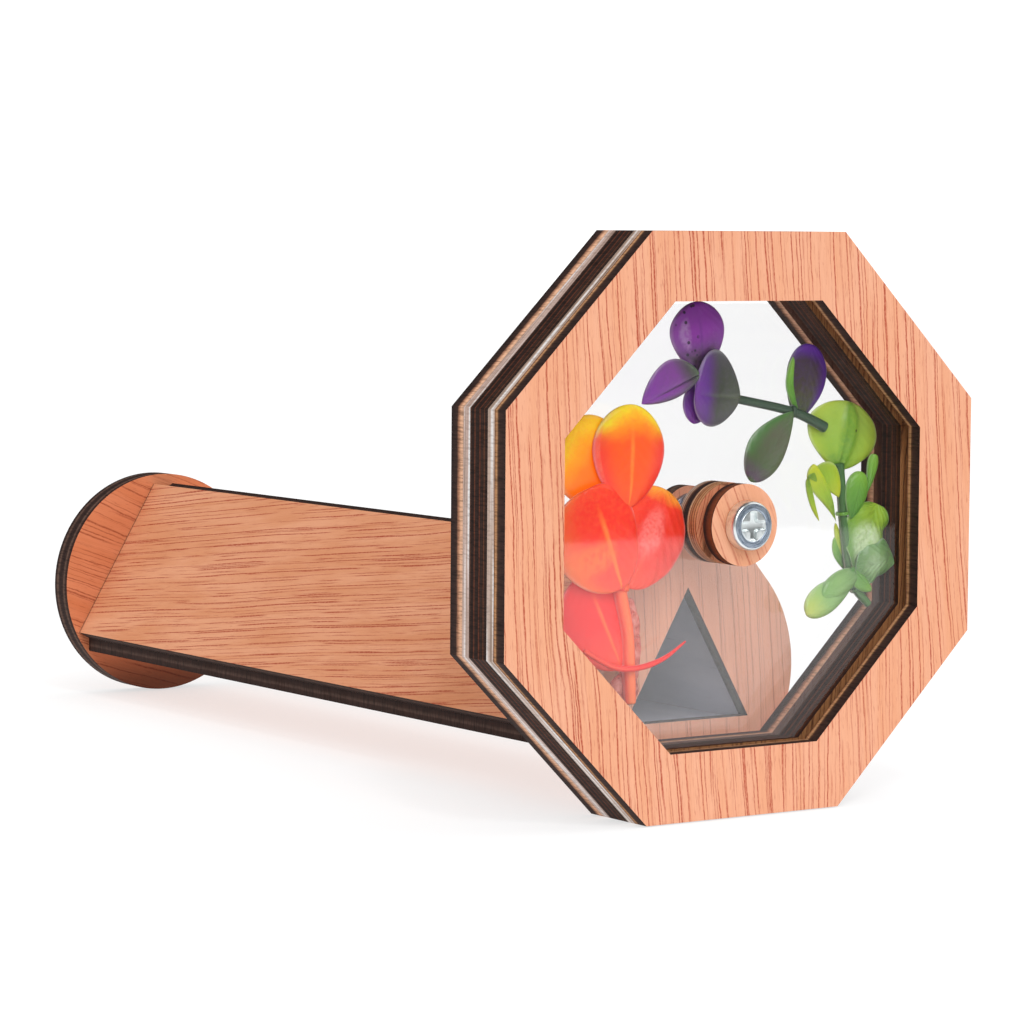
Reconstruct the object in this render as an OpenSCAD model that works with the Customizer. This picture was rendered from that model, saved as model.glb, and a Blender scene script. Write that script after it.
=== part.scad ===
// Kaleidoscope of laser-cut plywood: a three-sided mirror tube with a turning octagonal wheel.
// The wheel holds three moulded plant sprigs between two clear windows.
// Shapes are built about the wheel's axle (X right, Y from wheel to eyepiece, Z up, y = 0 at the
// wheel's front face), then moved so that the origin is at the bottom centre of the whole object.

/* [Wheel] */
// Size of the octagonal wheel across its flats
wheel_af = 100; // [90:1:110]
// Size of the wheel's opening across its flats
opening_af = 76.4; // [75:0.2:80]
// Thickness of the front ring
front_ring_t = 3.2; // [2.6:0.1:4]
// Thickness of each clear window
window_t = 2; // [1.5:0.1:3]
// Thickness of each of the two middle rings
middle_ring_t = 2.6; // [2.6:0.1:4]
// Thickness of the back ring
back_ring_t = 3.6; // [3.4:0.1:4]

/* [Hub and axle] */
// Diameter of the hub discs
hub_d = 14.1; // [12:0.1:15]
// Thickness of the hub cap disc
hub_cap_t = 2.4; // [2:0.1:3]
// Diameter of the axle screw
screw_d = 4; // [3.9:0.1:4]
// Radial running clearance around the axle screw
screw_clearance = 0.07; // [0.03:0.01:0.1]
// Diameter of the screw's pan head
head_d = 8.5; // [8:0.1:9]
// Height of the screw's pan head
head_h = 2.6; // [2.2:0.1:3]
// Gap that lets the wheel turn, along the axle
axial_gap = 0.1; // [0.05:0.05:0.2]
// Size of the nuts across their flats
nut_af = 7; // [7:0.1:8]
// Thickness of the nuts
nut_t = 3.2; // [3:0.1:3.2]
// Diameter of the washers
washer_d = 9; // [8.5:0.1:9]
// Thickness of the washers
washer_t = 0.8; // [0.8:0.1:1]

/* [Tube] */
// Length of the tube boards
tube_len = 185; // [120:1:220]
// Inner side of the triangle between the three boards
tube_side = 36; // [34:0.5:36]
// Thickness of the tube boards
board_t = 2.7; // [2.5:0.1:2.8]
// Thickness of the mirror strips
mirror_t = 1.5; // [1:0.1:2]

/* [Plates] */
// Drop from the wheel's axle to the centre of the round plates
plate_drop = 26.7; // [26:0.1:27]
// Drop from the centre of the round plates to the centre of the triangle
triangle_drop = 0.9; // [0:0.1:1]
// Radius of the front plate's round part
front_plate_r = 23.2; // [23:0.1:23.2]
// Radius of the front plate's upper lobe
lobe_r = 5.8; // [5:0.1:6]
// Thickness of the front plate
front_plate_t = 2.7; // [2.5:0.1:3.2]
// Side of the triangular window
window_side = 27; // [24:0.5:28]
// Radius of the eyepiece discs
eyepiece_r = 23.3; // [23:0.1:23.3]
// Thickness of each eyepiece disc
eyepiece_t = 2.7; // [2.5:0.1:3.2]
// Diameter of the round peephole
peephole_d = 10; // [6:0.5:12]

/* [Sprigs] */
// Thickness of a moulded leaf
leaf_t = 1.1; // [0.8:0.1:1.1]
// Radius of the orange stem
orange_stem_r = 1.3; // [1:0.05:1.3]
// Radius of the purple stem
purple_stem_r = 0.9; // [0.7:0.05:1]
// Radius of the green stem
green_stem_r = 1; // [0.8:0.05:1.1]

/* [Hidden] */
$fn = 96;
hair = 0.02;

// Faces of the wheel's layers along Y, from the front
front_window_y = front_ring_t;
chamber_y = front_window_y + window_t;
middle_rear_y = chamber_y + middle_ring_t;
rear_window_y = middle_rear_y + middle_ring_t;
back_ring_y = rear_window_y + window_t;
wheel_rear_y = back_ring_y + back_ring_t;

// Faces along the axle
screw_tip_out = 1.4;
head_seat_y = front_ring_t - hub_cap_t - axial_gap;
spacer_nut_y = back_ring_y + axial_gap;
spacer_washer_y = spacer_nut_y + nut_t;
front_plate_y = spacer_washer_y + washer_t;
tube_y = front_plate_y + front_plate_t;
rear_nut_y = tube_y + washer_t;
screw_tip_y = rear_nut_y + nut_t + screw_tip_out;
eyepiece_y = tube_y + tube_len;
eyepiece_end_y = eyepiece_y + 2 * eyepiece_t;

// Origin shift, to the bottom centre of the whole object
middle_y = (head_seat_y - head_h + eyepiece_end_y) / 2;
floor_z = -wheel_af / 2;

bore_d = screw_d + 2 * screw_clearance;
triangle_z = -plate_drop - triangle_drop;
tube_inradius = tube_side / (2 * sqrt(3));
mirror_w = tube_side - 2 * sqrt(3) * mirror_t - 2 * hair;

// Thread on the screw's free tip
thread_pitch = 0.7;
thread_depth = 0.3;
thread_turns = 2;
thread_groove_half = 0.45 * thread_pitch;

// Cross recess in the screw's head, with a tapered pit at its centre
recess_arm = 5.2;
recess_w = 1.3;
recess_depth = 1.5;
recess_pit_d = 2.8;
recess_pit_bottom_d = 1.6;
recess_turn = 20;

// Depths inside the chamber
stem_y = (chamber_y + back_ring_y - window_t) / 2;
leaf_window_gap = 0.15;
leaf_leaf_gap = 0.1;
leaf_front_y = chamber_y + leaf_window_gap;
leaf_inner_y = leaf_front_y + leaf_t + leaf_leaf_gap;
leaf_rear_y = rear_window_y - leaf_window_gap - leaf_t;
collar_wall = 0.75;
collar_len = 1.5;
joint_swell = 0.06;
leaf_fullness = 0.75;
tendril_taper = 0.65;

plywood = [0.95, 0.74, 0.56];
tube_ply = [0.85, 0.62, 0.46];
eyepiece_ply = [0.9, 0.62, 0.42];
clear = [0.85, 0.92, 0.95, 0.3];
mirror_grey = [0.6, 0.62, 0.65];
zinc = [0.75, 0.77, 0.8];
orange_red = [1, 0.35, 0.2];
orange_yellow = [1, 0.65, 0.15];
purple = [0.45, 0.2, 0.55];
dark_green = [0.22, 0.32, 0.25];
leaf_green = [0.55, 0.72, 0.25];
glue = [0.95, 0.9, 0.88, 0.5];

// Stem routes, as [x, z] from the axle
orange_route = [[-19.8, 2.5], [-21.1, -10.6], [-19.6, -17.5], [-19.1, -24], [-18.8, -30.3]];
purple_route = [[-2.5, 22.7], [3.2, 21.2], [15.7, 18.7], [23.2, 15.7]];
green_route = [[25.8, 9.4], [26.8, 4.7], [27.5, -0.3], [28.8, -7.8], [30, -12.3], [33.6, -16]];

// Moves a shape from the axle's coordinates to the object's own frame.
module place() {
    translate([0, -middle_y, -floor_z]) children();
}

// A flat piece drawn in X and Z, from y to y + t.
module slab(y, t) {
    translate([0, y + t, 0]) rotate([90, 0, 0]) linear_extrude(t) children();
}

module octagon(af) {
    rotate(22.5) circle(d = af / cos(22.5), $fn = 8);
}

module triangle(side) {
    circum_r = side / sqrt(3);
    polygon([for (a = [90, 210, 330]) circum_r * [cos(a), sin(a)]]);
}

// Wheel layers

module wheel_ring(y, t) {
    place() slab(y, t) difference() {
        octagon(wheel_af);
        octagon(opening_af);
    }
}

module wheel_window(y) {
    place() slab(y, window_t) difference() {
        octagon(wheel_af);
        circle(d = bore_d);
    }
}

module hub_disc(y, t) {
    place() slab(y, t) difference() {
        circle(d = hub_d);
        circle(d = bore_d);
    }
}

module wheel_front_ring() {
    color(plywood) wheel_ring(0, front_ring_t);
}

module wheel_front_window() {
    color(clear) wheel_window(front_window_y);
}

module wheel_middle_ring_front() {
    color(tube_ply) wheel_ring(chamber_y, middle_ring_t);
}

module wheel_middle_ring_rear() {
    color(tube_ply) wheel_ring(middle_rear_y, middle_ring_t);
}

module wheel_rear_window() {
    color(clear) wheel_window(rear_window_y);
}

module wheel_back_ring() {
    color(plywood) wheel_ring(back_ring_y, back_ring_t);
}

module hub_cap_disc() {
    color(plywood) hub_disc(front_ring_t - hub_cap_t, hub_cap_t);
}

module hub_core_disc_front() {
    color(tube_ply) hub_disc(chamber_y, middle_ring_t);
}

module hub_core_disc_rear() {
    color(tube_ply) hub_disc(middle_rear_y, middle_ring_t);
}

// Plates and tube

// Straight tangent sides between the front plate's lobe and its round part.
module plate_sides() {
    lean = asin((front_plate_r - lobe_r) / plate_drop);
    side = [cos(lean), sin(lean)];
    low = [0, -plate_drop];
    polygon([
        (lobe_r - hair) * side,
        low + (front_plate_r - hair) * side,
        low + (front_plate_r - hair) * [-side.x, side.y],
        (lobe_r - hair) * [-side.x, side.y]
    ]);
}

module front_plate() {
    color(plywood) place() difference() {
        union() {
            slab(front_plate_y, front_plate_t) circle(r = lobe_r);
            slab(front_plate_y, front_plate_t) translate([0, -plate_drop]) circle(r = front_plate_r);
            slab(front_plate_y, front_plate_t) plate_sides();
        }
        slab(front_plate_y - 1, front_plate_t + 2) circle(d = bore_d);
        slab(front_plate_y - 1, front_plate_t + 2) translate([0, triangle_z]) triangle(window_side);
    }
}

// One strip along a side of the tube's triangle: side 0 is the base, 1 the right, 2 the left.
module tube_strip(side, w, from_side, t) {
    place() slab(tube_y, tube_len)
        translate([0, triangle_z]) rotate(120 * side)
            translate([-w / 2, -tube_inradius + from_side]) square([w, t]);
}

module tube_board(side) {
    color(tube_ply) tube_strip(side, tube_side - 2 * hair, -board_t, board_t);
}

module mirror_strip(side) {
    color(mirror_grey) tube_strip(side, mirror_w, 0, mirror_t);
}

module tube_wall_base() {
    tube_board(0);
}

module tube_wall_right() {
    tube_board(1);
}

module tube_wall_left() {
    tube_board(2);
}

module mirror_base() {
    mirror_strip(0);
}

module mirror_right() {
    mirror_strip(1);
}

module mirror_left() {
    mirror_strip(2);
}

module eyepiece_disc(y) {
    place() slab(y, eyepiece_t) difference() {
        translate([0, -plate_drop]) circle(r = eyepiece_r);
        translate([0, triangle_z]) children();
    }
}

module eyepiece_inner_disc() {
    color(eyepiece_ply) eyepiece_disc(eyepiece_y) triangle(window_side);
}

module eyepiece_outer_disc() {
    color(eyepiece_ply) eyepiece_disc(eyepiece_y + eyepiece_t) circle(d = peephole_d);
}

// Axle hardware

// Profile of the pan head: flat seat, short straight edge, rounded shoulder, flat top.
module head_profile() {
    shoulder = 1.9;
    edge_h = 0.7;
    shoulder_h = head_h - edge_h;
    polygon(concat(
        [[0, 0]],
        [for (a = [0 : 15 : 90])
            [head_d / 2 - shoulder * (1 - cos(a)), edge_h + shoulder_h * sin(a)]],
        [[0, head_h]]
    ));
}

module cross_recess() {
    for (a = [0, 90])
        rotate(a) translate([-recess_arm / 2, -recess_w / 2, head_h - recess_depth])
            cube([recess_arm, recess_w, recess_depth + 1]);
    translate([0, 0, head_h - recess_depth])
        cylinder(d1 = recess_pit_bottom_d, d2 = recess_pit_d, h = recess_depth + hair);
}

// One V groove around the shank, at height z on the screw's own axis.
module thread_groove(z) {
    outside_r = screw_d / 2 + 0.2;
    translate([0, 0, z]) rotate_extrude() polygon([
        [screw_d / 2 - thread_depth, 0],
        [outside_r, thread_groove_half],
        [outside_r, -thread_groove_half]
    ]);
}

module pivot_screw() {
    shank_len = screw_tip_y - head_seat_y;
    color(zinc) place() translate([0, head_seat_y, 0]) rotate([90, 0, 0]) difference() {
        union() {
            rotate_extrude() head_profile();
            translate([0, 0, -shank_len]) cylinder(d = screw_d, h = shank_len + head_h / 2);
        }
        rotate(recess_turn) cross_recess();
        for (i = [0 : thread_turns - 1])
            thread_groove(-shank_len + thread_groove_half + thread_pitch * i);
    }
}

module nut(y) {
    color(zinc) place() slab(y, nut_t) difference() {
        circle(d = nut_af / cos(30), $fn = 6);
        circle(d = bore_d);
    }
}

module washer(y) {
    color(zinc) place() slab(y, washer_t) difference() {
        circle(d = washer_d);
        circle(d = bore_d);
    }
}

module pivot_spacer_nut() {
    nut(spacer_nut_y);
}

module pivot_spacer_washer() {
    washer(spacer_washer_y);
}

module pivot_rear_washer() {
    washer(tube_y);
}

module pivot_rear_nut() {
    nut(rear_nut_y);
}

// Sprigs

// Half width of a leaf at a share of its length, widest where widest says.
function leaf_half(share, w, widest) =
    w / 2 * pow(max(0, sin(180 * pow(share, ln(0.5) / ln(widest)))), leaf_fullness);

// Flat leaf from base to tip, with a pointed base and a rounded tip.
module leaf(base, tip, w, widest = 0.6) {
    span = norm(tip - base);
    steps = 16;
    right = [for (i = [0 : steps]) [leaf_half(i / steps, w, widest), span * i / steps]];
    left = [for (i = [steps - 1 : -1 : 1]) [-leaf_half(i / steps, w, widest), span * i / steps]];
    translate(base) rotate(atan2(tip.y - base.y, tip.x - base.x) - 90) polygon(concat(right, left));
}

module leaf_plate(y) {
    place() slab(y, leaf_t) children();
}

// Round rod along a route of [x, z] points, with a slight swelling at each joint and flat ends.
module rod(route, r) {
    place() for (i = [0 : len(route) - 2]) {
        from = route[i];
        step = route[i + 1] - from;
        translate([from.x, stem_y, from.y]) {
            rotate([0, 90 - atan2(step.y, step.x), 0]) cylinder(r = r, h = norm(step), $fn = 32);
            if (i > 0) sphere(r = r + joint_swell, $fn = 32);
        }
    }
}

// Collar around one leg of a route, centred at a share of the leg.
module collar(route, leg, share, stem_r) {
    from = route[leg];
    step = route[leg + 1] - from;
    middle = from + share * step;
    place() translate([middle.x, stem_y, middle.y]) rotate([0, 90 - atan2(step.y, step.x), 0])
        difference() {
            cylinder(r = stem_r + collar_wall, h = collar_len, center = true, $fn = 32);
            cylinder(r = stem_r + joint_swell + hair, h = collar_len + 1, center = true, $fn = 32);
        }
}

// Glue between a stem and the rear window, shaped around the stem.
module glue_dab(at, r, route, stem_r) {
    color(glue) difference() {
        place() slab(stem_y, rear_window_y - stem_y) translate(at) circle(r = r);
        rod(route, stem_r + joint_swell);
    }
}

module orange_sprig_stem() {
    color(orange_red) rod(orange_route, orange_stem_r);
}

module orange_sprig_upper_leaves() {
    color(orange_yellow) {
        leaf_plate(leaf_inner_y) leaf([-19.5, 4], [-19.1, 20.7], 15.2);
        leaf_plate(leaf_rear_y) leaf([-20, 2], [-29.2, 18.8], 12.5);
        place() slab(leaf_inner_y, leaf_rear_y + leaf_t - leaf_inner_y)
            translate([-20.6, 2.7]) square([1.6, 3.3]);
    }
}

module orange_sprig_middle_leaves() {
    color(orange_red) {
        leaf_plate(leaf_front_y) {
            leaf([-21.5, -10.7], [-29.6, 5.8], 17.5, 0.55);
            leaf([-19.9, -11], [-12, 6], 15);
        }
        collar(orange_route, 0, 0.97, orange_stem_r);
    }
}

// Thin curved tendril along an arc, tapering towards its free end.
module tendril(centre, arc_r, from, sweep, half_w) {
    steps = 14;
    function at(share, side) =
        (arc_r + side * half_w * (1 - tendril_taper * share))
        * [cos(from + sweep * share), sin(from + sweep * share)];
    translate(centre) polygon(concat(
        [for (i = [0 : steps]) at(i / steps, -1)],
        [for (i = [steps : -1 : 0]) at(i / steps, 1)]
    ));
}

module orange_sprig_lower_leaf() {
    color(orange_red) {
        leaf_plate(leaf_rear_y) leaf([-20.2, -23.5], [-30.5, -9.5], 10.5);
        collar(orange_route, 2, 0.85, orange_stem_r);
        leaf_plate(leaf_front_y) tendril([-19.8, -4.95], 19, 250, 57, 0.6);
    }
}

module orange_glue_dab() {
    glue_dab([-19, -27.6], 3.2, orange_route, orange_stem_r);
}

module purple_sprig_stem() {
    color(dark_green) rod(purple_route, purple_stem_r);
}

module purple_sprig_back_leaves() {
    color(purple) leaf_plate(leaf_rear_y) {
        leaf([-3.6, 23.5], [-5.3, 37.3], 12, 0.65);
        leaf([-3.7, 24.6], [-6.6, 17.7], 4.6);
    }
}

module purple_sprig_end_leaves() {
    color(purple) leaf_plate(leaf_front_y) {
        leaf([-4.6, 27.6], [-17.4, 21.8], 6.8, 0.5);
        leaf([-2, 29.6], [-3.6, 16.9], 9.8, 0.55);
    }
}

module purple_sprig_near_leaves() {
    color(dark_green) {
        leaf_plate(leaf_rear_y) leaf([14.9, 18.4], [21.4, 30.2], 9);
        leaf_plate(leaf_front_y) leaf([14.9, 19.3], [4.8, 8], 7.4);
        collar(purple_route, 1, 0.93, purple_stem_r);
    }
}

module purple_glue_dab() {
    glue_dab([0.6, 21.9], 1.5, purple_route, purple_stem_r);
}

module green_sprig_stem() {
    color(leaf_green) rod(green_route, green_stem_r);
}

module green_sprig_top_leaf() {
    color(leaf_green) {
        leaf_plate(leaf_rear_y) leaf([26.4, 7.8], [28.7, 19.9], 15.8, 0.58);
        collar(green_route, 0, 0.15, green_stem_r);
    }
}

module green_sprig_upper_leaves() {
    color(leaf_green) {
        leaf_plate(leaf_front_y) {
            leaf([27.1, -0.9], [18.9, 9.8], 6);
            leaf([26.9, -0.6], [28.6, 7.7], 4);
            leaf([27.8, -0.4], [32.6, 10.3], 2.8, 0.7);
        }
        collar(green_route, 1, 0.8, green_stem_r);
    }
}

module green_sprig_middle_leaves() {
    color(leaf_green) {
        leaf_plate(leaf_front_y) {
            leaf([29.3, -9.3], [34.6, 1.2], 7.4);
            leaf([28.9, -9.9], [37.7, -7.4], 6);
        }
        leaf_plate(leaf_rear_y) leaf([29.4, -9.8], [26.4, -2], 3.2);
        collar(green_route, 3, 0.3, green_stem_r);
    }
}

module green_sprig_lower_leaf() {
    color(leaf_green) {
        leaf_plate(leaf_front_y) leaf([31, -13], [18.4, -15.9], 6.4);
        collar(green_route, 4, 0.2, green_stem_r);
    }
}

module green_glue_dab() {
    glue_dab([26.5, 5.7], 1.4, green_route, green_stem_r);
}

front_plate();
tube_wall_left();
tube_wall_right();
tube_wall_base();
mirror_left();
mirror_right();
mirror_base();
eyepiece_inner_disc();
eyepiece_outer_disc();
pivot_screw();
pivot_spacer_nut();
pivot_spacer_washer();
pivot_rear_washer();
pivot_rear_nut();
wheel_front_ring();
wheel_front_window();
wheel_middle_ring_front();
wheel_middle_ring_rear();
wheel_rear_window();
wheel_back_ring();
hub_cap_disc();
hub_core_disc_front();
hub_core_disc_rear();
orange_sprig_stem();
orange_sprig_upper_leaves();
orange_sprig_middle_leaves();
orange_sprig_lower_leaf();
orange_glue_dab();
purple_sprig_stem();
purple_sprig_back_leaves();
purple_sprig_end_leaves();
purple_sprig_near_leaves();
purple_glue_dab();
green_sprig_stem();
green_sprig_top_leaf();
green_sprig_upper_leaves();
green_sprig_middle_leaves();
green_sprig_lower_leaf();
green_glue_dab();
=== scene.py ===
"""Looks of the plywood kaleidoscope: burnt-edge plywood, clear windows and three moulded plant sprigs."""

import math

import bmesh
import bpy
from mathutils import Matrix, Vector, noise


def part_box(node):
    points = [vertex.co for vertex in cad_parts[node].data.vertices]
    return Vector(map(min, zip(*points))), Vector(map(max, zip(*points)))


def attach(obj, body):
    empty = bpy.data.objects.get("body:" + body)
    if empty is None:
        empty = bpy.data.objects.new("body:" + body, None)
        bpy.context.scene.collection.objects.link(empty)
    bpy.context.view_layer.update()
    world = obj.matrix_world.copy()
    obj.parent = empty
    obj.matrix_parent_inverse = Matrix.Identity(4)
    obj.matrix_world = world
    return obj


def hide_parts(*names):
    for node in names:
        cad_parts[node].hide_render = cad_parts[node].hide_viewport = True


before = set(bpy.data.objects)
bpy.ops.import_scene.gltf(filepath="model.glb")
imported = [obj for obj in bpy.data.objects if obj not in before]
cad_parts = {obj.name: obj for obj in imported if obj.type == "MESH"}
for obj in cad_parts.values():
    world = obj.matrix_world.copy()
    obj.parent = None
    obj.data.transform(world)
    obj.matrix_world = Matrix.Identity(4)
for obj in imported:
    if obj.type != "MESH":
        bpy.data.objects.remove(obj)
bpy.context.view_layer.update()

MM = 0.001

# Places are given in millimetres from the axle (x right, z up), with y = 0 at the wheel's front face.
screw_low, screw_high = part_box("pivot_screw")
AXLE = Vector((
    (screw_low.x + screw_high.x) / 2,
    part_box("wheel_front_ring")[0].y,
    (screw_low.z + screw_high.z) / 2,
))


def place(x, y, z):
    return AXLE + Vector((x, y, z)) * MM


def layer_span(node):
    """A node's nearest and furthest y in millimetres from the wheel's front face."""
    low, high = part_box(node)
    return (low.y - AXLE.y) / MM, (high.y - AXLE.y) / MM


# ---------------------------------------------------------------- colours and node helpers


def rgb(red, green, blue):
    """Screen colour, 0 to 255, as the linear colour that a shader takes."""
    def linear(value):
        value /= 255
        return value / 12.92 if value <= 0.04045 else ((value + 0.055) / 1.055) ** 2.4
    return linear(red), linear(green), linear(blue), 1.0


WHITE = rgb(255, 255, 255)
AXIS_X, AXIS_Y, AXIS_Z = (1, 0, 0), (0, 1, 0), (0, 0, 1)


class Wire:
    """A value inside a material, which adds, subtracts, multiplies and divides like a plain number."""

    def __init__(self, shader, socket):
        self.shader, self.socket = shader, socket

    def __add__(self, other):
        return self.shader.math("ADD", self, other)

    def __sub__(self, other):
        return self.shader.math("SUBTRACT", self, other)

    def __mul__(self, other):
        return self.shader.math("MULTIPLY", self, other)

    def __truediv__(self, other):
        return self.shader.math("DIVIDE", self, other)


class Shader:
    """One material and short calls that add its nodes."""

    def __init__(self, name):
        self.material = bpy.data.materials.new(name)
        self.material.use_nodes = True
        self.tree = self.material.node_tree
        self.tree.nodes.clear()
        self.output = self.add("ShaderNodeOutputMaterial")

    def add(self, kind, **settings):
        made = self.tree.nodes.new(kind)
        for key, value in settings.items():
            setattr(made, key, value)
        return made

    def feed(self, socket, value):
        if isinstance(value, Wire):
            self.tree.links.new(value.socket, socket)
        else:
            socket.default_value = value

    def fed(self, made, output, **values):
        """Feeds values to a node's inputs by name or by number (as _0), and gives one of its outputs."""
        for key, value in values.items():
            key = int(key[1:]) if key[0] == "_" else key.replace("_", " ")
            self.feed(made.inputs[key], value)
        return Wire(self, made.outputs[output])

    def math(self, operation, first, second=0.0, third=0.0):
        return self.fed(self.add("ShaderNodeMath", operation=operation), 0, _0=first, _1=second, _2=third)

    def highest(self, first, *others):
        for other in others:
            first = self.math("MAXIMUM", first, other)
        return first

    def absolute(self, value):
        return self.math("ABSOLUTE", value)

    def spread(self, value, low, high, new_low=0.0, new_high=1.0):
        """new_low where value is at low, new_high where it is at high, and smooth between."""
        made = self.add("ShaderNodeMapRange", interpolation_type="SMOOTHSTEP", clamp=True)
        return self.fed(made, "Result", Value=value, From_Min=low, From_Max=high,
                        To_Min=new_low, To_Max=new_high)

    def coordinate(self, kind):
        return Wire(self, self.add("ShaderNodeTexCoord").outputs[kind])

    def dot(self, vector, direction):
        made = self.add("ShaderNodeVectorMath", operation="DOT_PRODUCT")
        return self.fed(made, "Value", _0=vector, _1=direction)

    def millimetres(self, spot, direction):
        """How far spot lies along direction, in millimetres."""
        return self.dot(spot, Vector(direction) / MM)

    def place_mm(self):
        """The shaded spot's x, y and z in millimetres."""
        spot = self.coordinate("Object")
        return [self.millimetres(spot, axis) for axis in (AXIS_X, AXIS_Y, AXIS_Z)]

    def join(self, x, y, z):
        return self.fed(self.add("ShaderNodeCombineXYZ"), 0, _0=x, _1=y, _2=z)

    def noise(self, vector, scale=1.0, detail=2.0, rough=0.5):
        made = self.add("ShaderNodeTexNoise")
        return self.fed(made, 0, Vector=vector, Scale=scale, Detail=detail, Roughness=rough)

    def line_gap(self, value, shift):
        """Distance to the nearest of a row of irregular lines along one number."""
        made = self.add("ShaderNodeTexVoronoi", voronoi_dimensions="1D", feature="DISTANCE_TO_EDGE")
        return self.fed(made, "Distance", W=value + shift, Scale=1.0)

    def dots(self, vector, scale):
        made = self.add("ShaderNodeTexVoronoi", feature="F1")
        return self.fed(made, "Distance", Vector=vector, Scale=scale)

    def mix(self, share, first, second, blend="MIX"):
        made = self.add("ShaderNodeMix", data_type="RGBA", blend_type=blend)
        return self.fed(made, 2, _0=share, _6=first, _7=second)

    def over(self, base, colour, value, low, high, share):
        """colour laid over base, more and more as value goes from low to high, and by share at most."""
        return self.mix(self.spread(value, low, high, 0.0, share), base, colour)

    def mix_numbers(self, share, first, second):
        return self.fed(self.add("ShaderNodeMix", data_type="FLOAT"), 0, _0=share, _2=first, _3=second)

    def mix_shaders(self, share, first, second):
        return self.fed(self.add("ShaderNodeMixShader"), 0, _0=share, _1=first, _2=second)

    def ramp(self, value, stops):
        """A colour ramp. stops are (position, red, green, blue), in screen colours."""
        made = self.add("ShaderNodeValToRGB")
        elements = made.color_ramp.elements
        while len(elements) > 1:
            elements.remove(elements[-1])
        first = elements[0]
        first.position, first.color = stops[0][0], rgb(*stops[0][1:])
        for position, *colour in stops[1:]:
            elements.new(position).color = rgb(*colour)
        return self.fed(made, 0, _0=value)

    def bump(self, height, depth_mm, strength=1.0):
        made = self.add("ShaderNodeBump")
        return self.fed(made, 0, Strength=strength, Distance=depth_mm * MM, Height=height)

    def principled(self, **values):
        return self.fed(self.add("ShaderNodeBsdfPrincipled"), 0, **values)

    def finish(self, shader):
        self.feed(self.output.inputs["Surface"], shader)
        return self.material


def dress(node, material):
    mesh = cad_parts[node].data
    mesh.materials.clear()
    mesh.materials.append(material)


def object_from(mesh, name, materials):
    """A new object in the scene, made from a bmesh and a list of materials."""
    data = bpy.data.meshes.new(name)
    mesh.to_mesh(data)
    mesh.free()
    for material in materials:
        data.materials.append(material)
    made = bpy.data.objects.new(name, data)
    bpy.context.scene.collection.objects.link(made)
    return made


# ---------------------------------------------------------------- plywood

CHAR = (62, 41, 34)
SOOT = (50, 33, 29)
INK = (45, 28, 22)
SAME_WAY = 0.6  # a face looks along a direction if its normal's share of it is above this


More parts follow.
